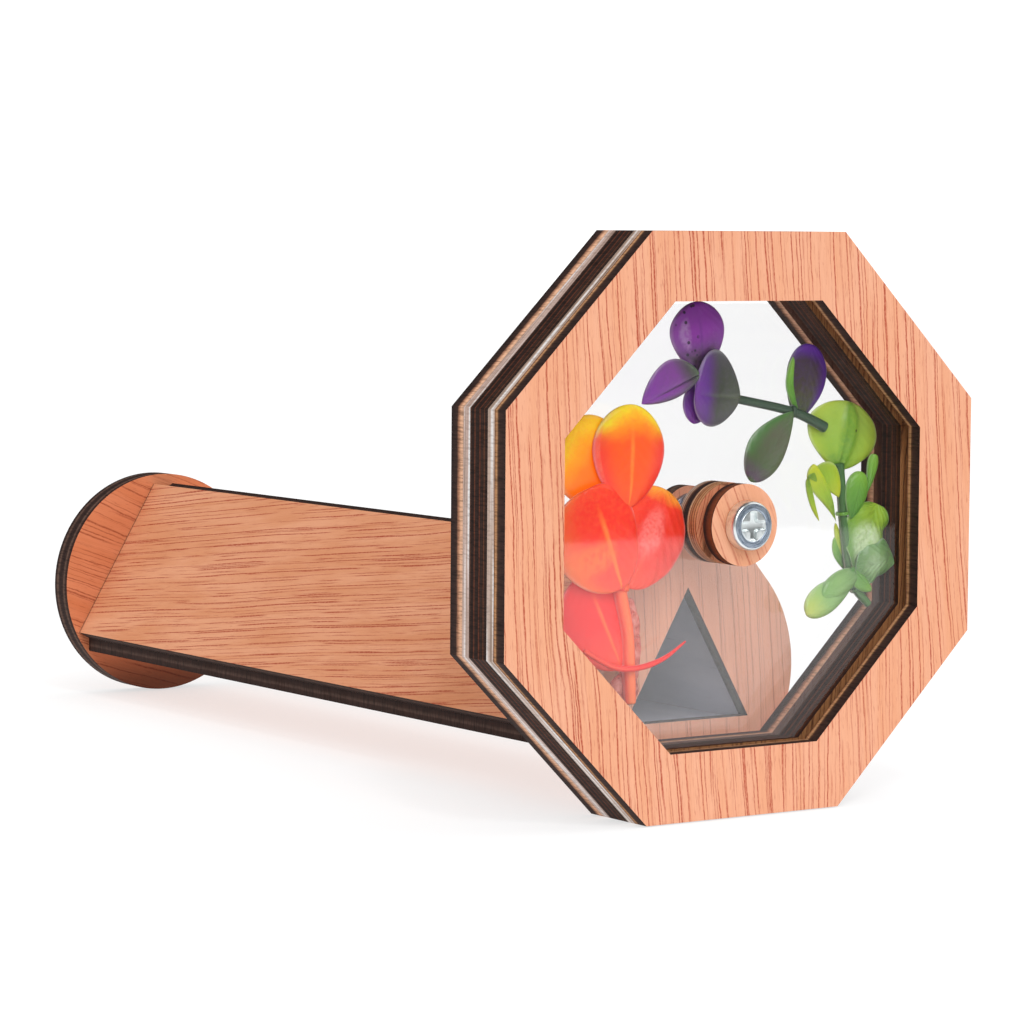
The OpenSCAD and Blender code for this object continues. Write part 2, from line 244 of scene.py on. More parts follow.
def plywood(name, grain, normal, palette, edge_ramp, across_start, span, gap=1.9, wander=1.0, lines=0.9,
            broad=0.5, hatch=0.55, length_rate=0.016, kink=0.35, pore=0.3, thick=1.0, front_shade=0.0,
            end_burn=None, stripes=0.0, foot_shade=0.0):
    """Laser-cut plywood: veneer on the faces that look along normal, burnt layers on every other face.

    grain and normal are directions; palette is (light, warm, line); burn is the colour ramp from
    across_start over span millimetres along normal: burnt layers, and on the hub core also painted
    highlights. Of the veneer, gap is the millimetres between grain lines, wander and kink bend them, lines
    and thick are their strength and width, length_rate ends them sooner, broad is the warm patches' share
    and pore the short dashes'. Of the burnt edge, hatch is the laser's cross marks and stripes its dark
    layers. front_shade paints shade on the front face, end_burn is the y where the veneer is scorched, and
    foot_shade paints a shadow on the veneer near the floor, darker towards the bottom.
    """
    t = Shader(name)
    spot, facing = t.coordinate("Object"), t.coordinate("Normal")
    grain, normal = Vector(grain).normalized(), Vector(normal).normalized()
    along = t.millimetres(spot, grain)
    across = t.millimetres(spot, grain.cross(normal))
    depth = t.millimetres(spot, normal) - across_start

    def cloud(across_scale, along_scale, layer, detail=2.0, rough=0.6, start=across):
        """Noise with its own scale across and along the grain. Another layer gives another pattern."""
        return t.noise(t.join(start * across_scale, along * along_scale, layer), 1.0, detail, rough)

    sway = cloud(0.05, 0.016, 0.0, 1.0, 0.5)
    ripple = cloud(0.3, 0.12, 3.0, 1.0, 0.5)
    kinks = cloud(0.6, 0.45, 8.0)
    run = (across + (sway * (9.0 * wander) + ripple * (0.9 * wander) + kinks * kink)) / gap

    def line_set(shift, width, patch_across, patch_along, low, high):
        """Irregular lines that show only where a patchy noise is above low, in full above high."""
        marks = t.spread(t.line_gap(run, shift), 0.0, width * thick, 1.0, 0.0)
        return marks * t.spread(cloud(patch_across, patch_along * length_rate, shift), low, high)

    strong = line_set(0.0, 0.085, 0.4, 1.0, 0.4, 0.52)
    faint = line_set(7.3, 0.06, 0.6, 1.8, 0.38, 0.56)
    doubled = line_set(21.6, 0.07, 0.5, 1.4, 0.44, 0.58)
    bold = line_set(43.1, 0.13, 0.35, 1.2, 0.48, 0.6)
    dashes = t.spread(cloud(3.4, 0.3, 5.0), 0.6, 0.7)
    fibres = cloud(7.0, 0.16, 9.0, 3.0, 0.65)
    patches = cloud(0.16, 0.03, 2.0, 3.0)
    bands = cloud(0.9, 0.012, 6.0, rough=0.5, start=run)
    grit = cloud(2.2, 1.3, 12.0, rough=0.7)

    light, warm, line = (rgb(*colour) for colour in palette)
    veneer = t.over(light, warm, patches, 0.35, 0.68, broad)
    veneer = t.over(veneer, warm, bands, 0.45, 0.72, broad * 0.8)
    veneer = t.over(veneer, line, fibres, 0.3, 0.75, 0.16)
    veneer = t.mix(dashes * pore, veneer, line)
    ink = t.highest(strong * lines, faint * (lines * 0.7), doubled * (lines * 0.85), bold * lines)
    ink = ink * t.spread(grit, 0.3, 0.6, 0.55, 1.0)
    veneer = t.mix(ink, veneer, line)
    # Painted shade: the face towards the front is darkened towards dark brown.
    if front_shade:
        in_front = t.math("LESS_THAN", t.dot(facing, normal), -SAME_WAY)
        veneer = t.mix(in_front * front_shade, veneer, rgb(66, 38, 29))
    # Painted shadow: the veneer darkens towards the bottom, standing for the tube's shadow on the disc.
    if foot_shade:
        shade_top, shade_full = 12.0, 1.0
        height_up = t.millimetres(spot, AXIS_Z)
        veneer = t.over(veneer, rgb(52, 22, 14), height_up, shade_top, shade_full, foot_shade)
    if end_burn is not None:
        far = t.millimetres(spot, AXIS_Y)
        veneer = t.over(veneer, rgb(*CHAR), far, end_burn - 0.55, end_burn - 0.1, 0.75)

    pulses = cloud(3.1, 3.1, depth * 0.35)
    smoke = cloud(0.25, 0.25, depth, 3.0)
    edge_tone = t.ramp(depth / span + (smoke - 0.5) * 0.14, edge_ramp)
    edge_tone = t.mix(t.spread(pulses, 0.4, 0.72, 0.0, hatch), edge_tone, rgb(38, 26, 23), "MULTIPLY")
    edge_tone = t.over(edge_tone, rgb(40, 28, 25), smoke, 0.5, 0.8, 0.35)
    if stripes:
        wavy = t.math("MULTIPLY_ADD", smoke, 1.2, depth * 4.2)
        layers = t.noise(t.join(0.0, 0.0, wavy), 1.0, 2.0, 0.6)
        edge_tone = t.over(edge_tone, rgb(58, 32, 24), layers, 0.52, 0.6, stripes)

    on_face = t.math("GREATER_THAN", t.absolute(t.dot(facing, normal)), SAME_WAY)
    veneer_height = fibres * 0.35 - t.highest(ink, dashes * 0.5)
    height = t.mix_numbers(on_face, pulses * 1.6, veneer_height)
    return t.finish(t.principled(
        Base_Color=t.mix(on_face, edge_tone, veneer), Roughness=on_face * -0.22 + (ink * 0.1 + 0.76),
        Specular_IOR_Level=0.18, Normal=t.bump(height, 0.06, 0.7)))


PEACH = ((226, 167, 135), (220, 153, 114), (164, 60, 36))
TAN = ((222, 158, 121), (208, 138, 96), (158, 56, 34))
PALE = ((243, 176, 144), (237, 163, 127), (160, 71, 50))
ORANGE = ((208, 130, 92), (196, 112, 70), (140, 64, 40))
GOLD = ((168, 118, 76), (142, 94, 56), (70, 40, 26))

FRONT_RING_BURN = [
    (0, *SOOT), (0.56, *CHAR), (0.68, 86, 56, 40), (0.8, 186, 138, 96), (0.9, 170, 120, 82),
    (1, 96, 64, 48)]
MIDDLE_FRONT_BURN = [
    (0, *INK), (0.3, 56, 36, 28), (0.4, 104, 60, 38), (0.48, *INK), (0.66, 62, 41, 32), (0.78, *INK),
    (0.88, 106, 54, 34), (1, *INK)]
MIDDLE_REAR_BURN = [
    (0, *INK), (0.36, 50, 33, 27), (0.46, 112, 58, 36), (0.54, *INK), (0.82, *INK), (0.9, 84, 54, 41),
    (1, 72, 50, 42)]
BACK_RING_BURN = [
    (0, 214, 168, 140), (0.16, 226, 176, 142), (0.34, 180, 128, 98), (0.46, 120, 84, 66), (0.5, *CHAR),
    (1, 44, 32, 30)]
BOARD_BURN = [
    (0, *SOOT), (0.34, *CHAR), (0.45, 78, 58, 50), (0.56, 84, 62, 54), (0.66, *CHAR), (1, *SOOT)]
PLATE_BURN = [
    (0, *SOOT), (0.3, *CHAR), (0.42, 92, 68, 58), (0.58, 98, 74, 62), (0.7, *CHAR), (1, *SOOT)]
CAP_BURN = [
    (0, 66, 38, 26), (0.2, 120, 62, 34), (0.55, 96, 48, 28), (0.75, 50, 30, 23), (1, *SOOT)]
# The two hub-core ramps mix burnt ply layers with painted highlights: the palest stop of the front ramp
# (0.86) and the pale stops of the rear ramp (0.84 and 1) are the thin bright arcs on the disc edges.
CORE_FRONT_BURN_AND_HIGHLIGHTS = [
    (0, 58, 30, 22), (0.08, 196, 142, 96), (0.24, 214, 160, 112), (0.29, 92, 54, 34), (0.36, 208, 152, 104),
    (0.5, 170, 112, 70), (0.56, 80, 44, 28), (0.64, 200, 142, 96), (0.78, 150, 96, 62),
    (0.86, 232, 186, 144), (1, 96, 58, 40)]
CORE_REAR_BURN_AND_HIGHLIGHTS = [
    (0, *SOOT), (0.4, 30, 20, 19), (0.48, 120, 74, 54), (0.56, 50, 30, 26), (0.66, 206, 164, 136),
    (0.74, 96, 58, 42), (0.84, 226, 196, 172), (0.92, *SOOT), (1, 214, 196, 184)]


def layered(node, name, grain, palette, edge_ramp, **details):
    """Plywood whose layers are stacked along y."""
    low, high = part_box(node)
    dress(node, plywood(name, grain, AXIS_Y, palette, edge_ramp, low.y / MM, (high.y - low.y) / MM, **details))


layered("wheel_front_ring", "front_ring_plywood", (-0.075, 0, 1), PEACH, FRONT_RING_BURN, gap=2.3,
        wander=0.6, lines=1.0, pore=0.38)
layered("wheel_middle_ring_front", "middle_ring_plywood_front", (0.1, 0, 1), GOLD, MIDDLE_FRONT_BURN,
        gap=1.1, wander=0.5, lines=1.0, thick=1.8, length_rate=0.008)
layered("wheel_middle_ring_rear", "middle_ring_plywood_rear", (1, 0, 0.1), TAN, MIDDLE_REAR_BURN)
layered("wheel_back_ring", "back_ring_plywood", (-0.02, 0, 1), PEACH, BACK_RING_BURN, gap=3.0, wander=0.5,
        front_shade=0.85)
layered("hub_cap_disc", "hub_cap_plywood", (-0.46, 0, 1), PEACH, CAP_BURN, gap=2.9, wander=0.3, lines=0.7,
        hatch=0.2)
layered("hub_core_disc_front", "hub_core_plywood_front", (0.3, 0, 1), TAN, CORE_FRONT_BURN_AND_HIGHLIGHTS, hatch=0.15,
        stripes=0.75)
layered("hub_core_disc_rear", "hub_core_plywood_rear", (0.2, 0, 1), TAN, CORE_REAR_BURN_AND_HIGHLIGHTS, hatch=0.15,
        stripes=0.6)
layered("front_plate", "front_plate_plywood", (-0.08, 0, 1), PALE, BOARD_BURN, gap=3.1, wander=0.35,
        lines=0.6, pore=0.14, thick=0.6)
layered("eyepiece_inner_disc", "eyepiece_plywood_inner", (1, 0, -0.36), ORANGE, PLATE_BURN, gap=2.4,
        wander=0.6, foot_shade=0.8)
layered("eyepiece_outer_disc", "eyepiece_plywood_outer", (0.9, 0, 1), TAN, PLATE_BURN, gap=2.2, wander=0.6)


def board(node, turn, lean):
    """Plywood of a tube board whose outward normal is turned by turn degrees from straight down.

    lean is how far its grain drifts across the board for each millimetre along it.
    """
    angle = math.radians(turn)
    outward = Vector((math.sin(angle), 0, -math.cos(angle)))
    grain = Vector(AXIS_Y) + Vector(AXIS_Y).cross(outward) * lean
    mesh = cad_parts[node].data
    reach = [v.co.dot(outward) for v in mesh.vertices]
    dress(node, plywood(node + "_plywood", grain, outward, TAN, BOARD_BURN,
                        min(reach) / MM, (max(reach) - min(reach)) / MM,
                        gap=1.8, wander=0.2, lines=1.0, broad=0.75, length_rate=0.036, kink=0.12, pore=0.2,
                        end_burn=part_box(node)[1].y / MM))


board("tube_wall_base", 0, 0.03)
board("tube_wall_right", 120, 0.05)
board("tube_wall_left", 240, -0.13)


# ---------------------------------------------------------------- mirrors, metal and acrylic


def mirror_film():
    """Dull lilac mirror film, with fine streaks along the tube."""
    t = Shader("mirror_strip")
    x, y, z = t.place_mm()
    streaks = t.noise(t.join(x * 2.4, y * 0.05, z * 2.4), 1.0, 3.0, 0.6)
    haze = t.noise(t.join(x, y * 0.3, z), 0.15, 3.0)
    colour = t.mix(t.spread(haze, 0.3, 0.7), rgb(234, 233, 241), rgb(216, 217, 228))
    return t.finish(t.principled(Base_Color=colour, Metallic=0.35, Roughness=streaks * 0.25 + 0.2,
                                 Normal=t.bump(streaks, 0.004)))


def nut_and_washer_zinc():
    """Grey zinc plating with darker stains."""
    t = Shader("zinc_hardware")
    spot = t.coordinate("Object")
    grain = t.noise(spot, 1900.0, 3.0, 0.6)
    stains = t.noise(spot, 420.0, 3.0, 0.6)
    colour = t.mix(t.spread(stains, 0.35, 0.7), rgb(206, 212, 220), rgb(160, 172, 190))
    return t.finish(t.principled(Base_Color=colour, Metallic=1.0, Roughness=grain * 0.2 + 0.26,
                                 Normal=t.bump(grain, 0.02, 0.5)))


def screw_head_zinc():
    """Zinc with a thin bright rim, a scratched blue-grey ring and a bright recess: the bright rim is a
    painted highlight, and the ring's blue-grey is zinc tone with a painted reflection.
    """
    t = Shader("zinc_screw")
    spot = t.coordinate("Object")
    x = t.millimetres(spot, AXIS_X) - AXLE.x / MM
    z = t.millimetres(spot, AXIS_Z) - AXLE.z / MM
    radius = t.math("SQRT", x * x + z * z)
    grain = t.noise(spot, 1900.0, 3.0, 0.6)
    turning = t.noise(t.join(radius * 9.0, x * 0.6, z * 0.6), 1.0, 3.0, 0.7)
    ring = t.spread(radius, 2.55, 2.8) * t.spread(radius, 3.9, 3.7)
    # Painted light: the near-white outside the ring gives the rim its painted highlight, and the ring's
    # blue-grey holds a painted reflection.
    colour = t.mix(ring, rgb(240, 246, 246), rgb(190, 202, 216))
    scratches = t.spread(turning, 0.42, 0.6, 0.0, 0.85)
    colour = t.mix(scratches * ring, colour, rgb(96, 112, 134))
    stains = t.noise(spot, 620.0, 3.0, 0.65)
    colour = t.over(colour, rgb(150, 164, 170), stains, 0.5, 0.74, 0.4)
    rough = ring * 0.12 + 0.22 + grain * 0.2
    return t.finish(t.principled(Base_Color=colour, Metallic=1.0, Roughness=rough,
                                 Normal=t.bump(grain * 0.3 + turning * ring, 0.04, 0.7)))


def acrylic(name, edge_light_colour):
    """Clear sheet: see-through with a Fresnel gloss on its faces, and an opaque flame-cut edge whose
    grey-tan colour and white streaks are painted light shining in the clear edge.
    """
    t = Shader(name)
    spot, facing = t.coordinate("Object"), t.coordinate("Normal")
    x, y, z = t.place_mm()
    smears = t.noise(spot, 60.0, 3.0, 0.6)
    hatch = t.noise(t.join(x * 2.4, y * 0.5, z * 2.4))
    streak = t.noise(t.join(x * 0.03, y * 1.6, z * 0.03))

    # Leaving the sheet, light meets the index of refraction the other way round.
    index_of_acrylic = 1.49
    leaving = Wire(t, t.add("ShaderNodeNewGeometry").outputs["Backfacing"])
    index = t.math("POWER", index_of_acrylic, leaving * -2.0 + 1.0)
    fresnel = t.fed(t.add("ShaderNodeFresnel"), 0, IOR=index)
    clear = t.fed(t.add("ShaderNodeBsdfTransparent"), 0, Color=(0.999, 0.999, 0.999, 1))
    gloss = t.principled(Base_Color=WHITE, Metallic=1.0, Roughness=smears * 0.03 + 0.015)

    # Painted light: edge_light_colour and the long white streaks stand for light shining in the clear edge;
    # the streaks are painted highlights.
    tint = t.mix(t.spread(streak, 0.5, 0.66), edge_light_colour, rgb(226, 222, 220))
    tint = t.mix(t.spread(streak, 0.48, 0.3), tint, rgb(126, 104, 88))
    tint = t.over(tint, rgb(120, 98, 88), hatch, 0.45, 0.7, 0.4)
    edge = t.principled(Base_Color=tint, Roughness=0.3, Normal=t.bump(hatch, 0.03, 0.6))
    on_edge = t.math("LESS_THAN", t.absolute(t.dot(facing, AXIS_Y)), SAME_WAY)
    return t.finish(t.mix_shaders(on_edge, t.mix_shaders(fresnel, clear, gloss), edge))


film = mirror_film()
for strip in ("mirror_left", "mirror_right", "mirror_base"):
    dress(strip, film)
screw_zinc = screw_head_zinc()
hardware_zinc = nut_and_washer_zinc()
dress("wheel_front_window", acrylic("clear_acrylic_front", rgb(182, 156, 140)))
dress("wheel_rear_window", acrylic("clear_acrylic_rear", rgb(190, 162, 150)))


# ---------------------------------------------------------------- screw, nuts and washers

BORE_R = 2.07
WELD = 0.001 * MM
SHARP_ANGLE = math.radians(32)


def ease(value, low, high):
    """0 at low, 1 at high, smooth between."""
    share = min(1.0, max(0.0, (value - low) / (high - low)))
    return share * share * (3 - 2 * share)


def turned(node, material, steps, profile_at, closed):
    """A piece turned about the axle. profile_at(angle) gives its outline there as (radius, y) points."""
    mesh = bmesh.new()
    loops = []
    for k in range(steps):
        angle = math.tau * k / steps
        loops.append([mesh.verts.new(place(r * math.cos(angle), y, r * math.sin(angle)))
                      for r, y in profile_at(angle)])
    for k in range(steps):
        a, b = loops[k], loops[(k + 1) % steps]
        for i in range(len(a) if closed else len(a) - 1):
            j = (i + 1) % len(a)
            mesh.faces.new((a[i], b[i], b[j], a[j])).smooth = True
    bmesh.ops.remove_doubles(mesh, verts=mesh.verts[:], dist=WELD)
    bmesh.ops.dissolve_degenerate(mesh, edges=mesh.edges[:], dist=WELD)
    bmesh.ops.recalc_face_normals(mesh, faces=mesh.faces[:])
    made = object_from(mesh, node.replace("pivot_", "detailed_"), [material])
    made.data.set_sharp_from_angle(angle=SHARP_ANGLE)
    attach(made, "scope")
    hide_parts(node)


def build_screw():
    """Pan-head screw: cross recess inside a stamped ring, and a thread down to its tip."""
    top, tip = layer_span("pivot_screw")
    low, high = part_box("pivot_screw")
    head_r = (high.x - low.x) / 2 / MM
    head_thick, crown_fall, crown_r, shoulder_r, shoulder_fall, chamfer = 2.6, 0.16, 3.5, 3.78, 0.8, 0.15
    recess_deep, recess_turn, arm_half, arm_reach, arm_slope = 0.9, math.radians(1), 0.66, 2.5, 0.16
    well_low, well_high = 1.35, 1.0
    ring_r, ring_deep, ring_wide = 2.75, 0.13, 0.13
    shank_r, thread_start, pitch, thread_deep, thread_step = 2.0, 9.5, 0.7, 0.26, 0.09
    face_rings, tip_gap = 58, 0.3
    seat = top + head_thick

    def face_y(r, angle):
        y = top + crown_fall * (r / crown_r) ** 2
        if r > shoulder_r:
            past = (r - shoulder_r) / (head_r - shoulder_r)
            y += shoulder_fall * (1 - math.sqrt(max(0.0, 1 - past ** 2)))
        x, z = abs(r * math.cos(angle - recess_turn)), abs(r * math.sin(angle - recess_turn))
        across_arm = ease(min(x, z), arm_half + arm_slope, arm_half - arm_slope)
        along_arm = ease(max(x, z), arm_reach + 0.2, arm_reach - 0.3)
        inside = max(across_arm * along_arm, ease(r, well_low, well_high))
        sunk = inside * recess_deep * (1 - 0.5 * (r / arm_reach) ** 2)
        groove = ring_deep * math.exp(-((r - ring_r) / ring_wide) ** 2)
        return y + max(0.0, sunk) + groove

    def outline(angle):
        face_radii = [head_r * (i / face_rings) ** 0.9 for i in range(face_rings + 1)]
        points = [(r, face_y(r, angle)) for r in face_radii]
        points += [(head_r, seat - chamfer), (head_r - chamfer, seat), (shank_r, seat)]
        start, run_in = seat + thread_start, 8
        for i in range(int((tip - start - tip_gap) / thread_step) + 1):
            y = start + i * thread_step
            phase = ((y - start) / pitch - angle / math.tau) % 1.0
            points.append((shank_r - thread_deep * (1 - abs(2 * phase - 1)) * ease(i, 0, run_in), y))
        return points + [(shank_r - thread_deep - chamfer, tip), (0.0, tip)]

    turned("pivot_screw", screw_zinc, 120, outline, closed=False)


def build_nut(node):
    """Hexagon nut with turned chamfers and a countersunk bore."""
    front, rear = layer_span(node)
    low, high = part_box(node)
    flat_r = (high.z - low.z) / 2 / MM
    chamfer_r, chamfer_slope, sink = flat_r * 0.94, 0.55, 0.28
    sixth = math.pi / 6
    # The flats face up and down if the nut is wider than it is tall.
    turn = sixth if high.x - low.x > high.z - low.z else 0.0

    def outline(angle):
        from_flat = (angle + turn + sixth) % (2 * sixth) - sixth
        corner_r = flat_r / math.cos(from_flat)
        drop = (corner_r - chamfer_r) * chamfer_slope
        return [(BORE_R, front + sink), (BORE_R + sink, front),
                (chamfer_r, front), (corner_r, front + drop), (corner_r, rear - drop), (chamfer_r, rear),
                (BORE_R + sink, rear), (BORE_R, rear - sink)]

    turned(node, hardware_zinc, 96, outline, closed=True)


def build_washer(node):
    """Stamped washer: its front edge is rounded and its rear edge is sharp."""
    front, rear = layer_span(node)
    low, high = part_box(node)
    outer, bend = (high.x - low.x) / 2 / MM, 0.22
    angles = [math.pi / 6 * step for step in range(4)]
    curve = [(math.sin(a) * bend, (1 - math.cos(a)) * bend) for a in angles]
    points = ([(BORE_R + bend - dx, front + dy) for dx, dy in reversed(curve)]
              + [(outer - bend + dx, front + dy) for dx, dy in curve] + [(outer, rear), (BORE_R, rear)])
    turned(node, hardware_zinc, 96, lambda angle: points, closed=True)


build_screw()
for nut in ("pivot_spacer_nut", "pivot_rear_nut"):
    build_nut(nut)
for washer in ("pivot_spacer_washer", "pivot_rear_washer"):
    build_washer(washer)


# ---------------------------------------------------------------- sprig materials


def leaf_plastic(name, length, rim, vein, rim_share=0.5, vein_share=0.5, sided=0.0, specks=0.0, gloss=0.24,
                 panel=None, tip_free=1.5, tip_sides=0.0, colour_patch=None, coarse=0.16, painted_glow=((0, 0, 0), 0.0)):
    """Moulded leaf plastic, in screen colours. length is a ramp from the leaf's base (0) to its tip (1).

    rim comes in towards the leaf's outline by rim_share, up to tip_free along the leaf, and on one side
    only if sided isn't 0, and the very edge is whitened a little, painted light on the thin edge. vein
    runs along the middle by vein_share. tip_sides moves the ramp on towards the sides. panel colours a
    raised band, bloom is a soft patch as (along, across, half length, half width, colour), a painted
    highlight on the yellow-tipped, glossy red and pale-lobed leaves, and specks is the strength of dark
    dots. gloss is the lowest roughness, coarse the depth of the surface's unevenness in millimetres, and
    lift a constant glow as (colour, strength), painted light that brightens the leaf.
    """
    t = Shader(name)
    spot = t.coordinate("Object")
    rim, vein = rgb(*rim), rgb(*vein)
    here = t.add("ShaderNodeAttribute", attribute_name="leaf_place")
    parts = t.add("ShaderNodeSeparateXYZ")
    t.feed(parts.inputs[0], Wire(t, here.outputs["Vector"]))
    u, s, raised = (Wire(t, output) for output in parts.outputs)
    off_middle = t.absolute(s)
    soft = t.noise(spot, 160.0, 3.0, 0.55)
    fine = t.noise(spot, 1500.0, 3.0, 0.6)
    drift = (soft - 0.5) * 0.3
    colour = t.ramp(u + s * s * tip_sides + drift, length)
    reach = s * sided if sided else off_middle
    rimmed = t.spread(reach + drift, 0.35, 0.98, 0.0, rim_share) * t.spread(u, tip_free + 0.12, tip_free)
    colour = t.mix(rimmed, colour, rim)
    # Painted light: the outermost edge is mixed a quarter towards white, against the thin edge's shading.
    lip = t.spread(off_middle, 0.88, 1.0, 0.0, 0.75)
    colour = t.mix(lip, colour, t.mix(0.25, colour, WHITE))
    midrib = t.spread(off_middle, 0.0, 0.09, 1.0, 0.0) * t.spread(u, 0.55, 0.9, 1.0, 0.0)
    colour = t.mix(midrib * vein_share, colour, vein)
    if panel:
        colour = t.mix(raised * 0.7, colour, rgb(*panel))
    colour = t.over(colour, rim, fine, 0.35, 0.75, 0.2)
    if colour_patch:
        along_at, across_at, half_length, half_width, tint = colour_patch
        away_u, away_s = (u - along_at) / half_length, (s - across_at) / half_width
        patch = t.spread(away_u * away_u + away_s * away_s, 1.0, 0.1) * t.spread(fine, 0.3, 0.62, 0.3, 0.85)
        colour = t.mix(patch, colour, rgb(*tint))
    if specks:
        one_side = t.spread(s, 0.0, -0.2) * t.spread(s, -0.98, -0.8)
        spots = t.spread(t.dots(spot, 820.0), 0.2, 0.3, 1.0, 0.0) * one_side
        colour = t.mix(spots * specks, colour, rgb(40, 24, 50))
    ribs = t.fed(t.add("ShaderNodeTexWave", wave_type="BANDS", bands_direction="X"), "Fac",
                 Scale=2.2, Distortion=1.2, Vector=t.join(u + off_middle * 0.45, 0.0, 0.0))
    return t.finish(t.principled(
        Base_Color=colour, Roughness=fine * 0.16 + gloss,
        Subsurface_Weight=0.08, Subsurface_Radius=(1.0, 0.5, 0.25), Subsurface_Scale=0.0012,
        Emission_Color=rgb(*painted_glow[0]), Emission_Strength=painted_glow[1],
        Normal=t.bump(soft + (fine * 0.25 + ribs * 0.18), coarse, 0.7)))


DEEP_VIOLET = (84, 36, 118)

# bloom here: a pinkish painted highlight along the left edge.
leaf_top_orange = leaf_plastic(
    "leaf_yellow_tip", [(0, 252, 84, 24), (0.3, 255, 92, 22), (0.62, 255, 92, 16), (0.8, 255, 150, 12),
    (0.96, 252, 222, 30)], (250, 48, 44), (255, 170, 60), 0.9, 0.45, tip_free=0.62, tip_sides=0.14,
    colour_patch=(0.48, -0.88, 0.34, 0.07, (255, 108, 82)))
# lift here: a constant orange glow, painted light on a leaf that the ring shades from the lamps.
leaf_back_orange = leaf_plastic(
    "leaf_amber", [(0, 255, 112, 8), (0.4, 255, 96, 2), (0.58, 255, 110, 2), (0.76, 255, 166, 6),
    (0.9, 255, 210, 24)], (255, 124, 4), (255, 170, 20), 0.5, 0.5, tip_free=0.6, tip_sides=0.14,
    painted_glow=((255, 150, 0), 0.2))
leaf_big_red = leaf_plastic(
    "leaf_scarlet", [(0, 252, 72, 54), (0.4, 246, 44, 30), (0.8, 246, 46, 26), (1, 250, 70, 36)],
    (255, 128, 48), (255, 160, 60), 0.6, 0.55, sided=-1.0, coarse=0.3,
    colour_patch=(0.38, -0.5, 0.18, 0.8, (255, 118, 48)))
# bloom here: a pale pink painted highlight in the middle of the leaf.
leaf_right_red = leaf_plastic(
    "leaf_red_gloss", [(0, 252, 76, 56), (0.4, 240, 44, 34), (0.86, 244, 52, 34), (0.99, 255, 176, 40)],
    (255, 104, 50), (255, 130, 76), 0.4, 0.15, sided=-1.0, coarse=0.5,
    colour_patch=(0.56, 0.0, 0.3, 0.4, (255, 128, 120)))
# lift here: a constant red glow, painted light.
leaf_low_red = leaf_plastic(
    "leaf_rose_red", [(0, 250, 84, 60), (0.5, 240, 46, 46), (1, 234, 44, 46)], (206, 34, 40),
    (255, 120, 60), 0.6, 0.8, sided=1.0, painted_glow=((255, 20, 20), 0.1))
leaf_violet = leaf_plastic(
    "leaf_violet", [(0, 46, 44, 38), (0.3, 62, 48, 58), (0.46, 122, 54, 140), (0.62, 148, 52, 170),
    (1, 146, 48, 172)], (150, 84, 176), DEEP_VIOLET, 0.5, 0.35, specks=0.9,
    colour_patch=(0.6, -0.55, 0.25, 0.25, (176, 130, 190)))
leaf_pointed = leaf_plastic(
    "leaf_violet_pointed", [(0, 82, 112, 70), (0.22, 84, 74, 84), (0.45, 128, 66, 146), (1, 128, 58, 158)],
    (84, 76, 88), (54, 38, 64), 0.8, 0.7, sided=-1.0)
leaf_small_violet = leaf_plastic(
    "leaf_deep_violet", [(0, 92, 36, 120), (1, 112, 40, 140)], (104, 44, 150), DEEP_VIOLET)
leaf_slate_violet = leaf_plastic(
    "leaf_slate_violet", [(0, 84, 90, 74), (0.5, 66, 70, 60), (0.62, 80, 62, 88), (0.78, 94, 46, 132),
    (1, 112, 54, 148)], (92, 74, 108), (96, 108, 80), 0.25, 0.35)
leaf_dark_rim = leaf_plastic(
    "leaf_moss_violet_rim", [(0, 74, 90, 46), (0.4, 70, 64, 48), (0.74, 70, 54, 66), (0.9, 98, 46, 156)],
    (92, 40, 146), (64, 66, 50), 0.85, 0.3, sided=1.0, tip_sides=0.05)
leaf_moss = leaf_plastic(
    "leaf_moss", [(0, 82, 112, 66), (0.35, 98, 98, 80), (0.75, 84, 96, 66), (0.95, 98, 74, 98),
    (1, 86, 128, 60)], (70, 124, 54), (96, 92, 84), 0.85, 0.3, sided=1.0, tip_free=0.7)
leaf_lime = leaf_plastic(
    "leaf_lime", [(0, 96, 150, 50), (0.25, 148, 186, 66), (1, 172, 202, 88)], (186, 204, 66), (84, 132, 36),
    0.55, 0.8, panel=(100, 152, 44), colour_patch=(0.6, 0.22, 0.03, 0.045, (30, 52, 20)))
leaf_curled = leaf_plastic(
    "leaf_curled_lime", [(0, 104, 140, 46), (0.5, 150, 184, 46), (1, 196, 202, 40)], (176, 196, 60),
    (120, 160, 40), 0.4, 0.4)
leaf_green = leaf_plastic(
    "leaf_green", [(0, 72, 128, 46), (0.6, 104, 158, 58), (1, 132, 182, 66)], (112, 164, 60), (84, 134, 48),
    0.4, 0.4)
# bloom here: a pale painted highlight over the lobes.
leaf_lobed = leaf_plastic(
    "leaf_pale_lobes", [(0, 96, 136, 72), (0.35, 112, 156, 66), (0.7, 150, 184, 60), (1, 158, 192, 62)],
    (92, 146, 48), (96, 138, 56), 0.6, 0.5, coarse=0.6, colour_patch=(0.42, 0.0, 0.36, 0.75, (196, 214, 172)))
leaf_low_lobe = leaf_plastic(
    "leaf_grey_lobe", [(0, 84, 126, 66), (0.5, 124, 160, 96), (1, 88, 136, 62)], (84, 132, 62),
    (92, 134, 70), 0.6, 0.4, coarse=0.6, colour_patch=(0.5, 0.0, 0.32, 0.55, (156, 186, 136)))
leaf_fold_green = leaf_plastic(
    "leaf_fold_green", [(0, 92, 132, 74), (0.5, 132, 172, 96), (1, 122, 170, 88)], (100, 148, 66),
    (104, 146, 74), 0.5, 0.3)
leaf_low_green = leaf_plastic(
    "leaf_low_green", [(0, 110, 152, 92), (0.6, 140, 182, 104), (0.9, 176, 196, 92), (1, 188, 196, 90)],
    (134, 178, 96), (120, 162, 84), 0.35, 0.4)
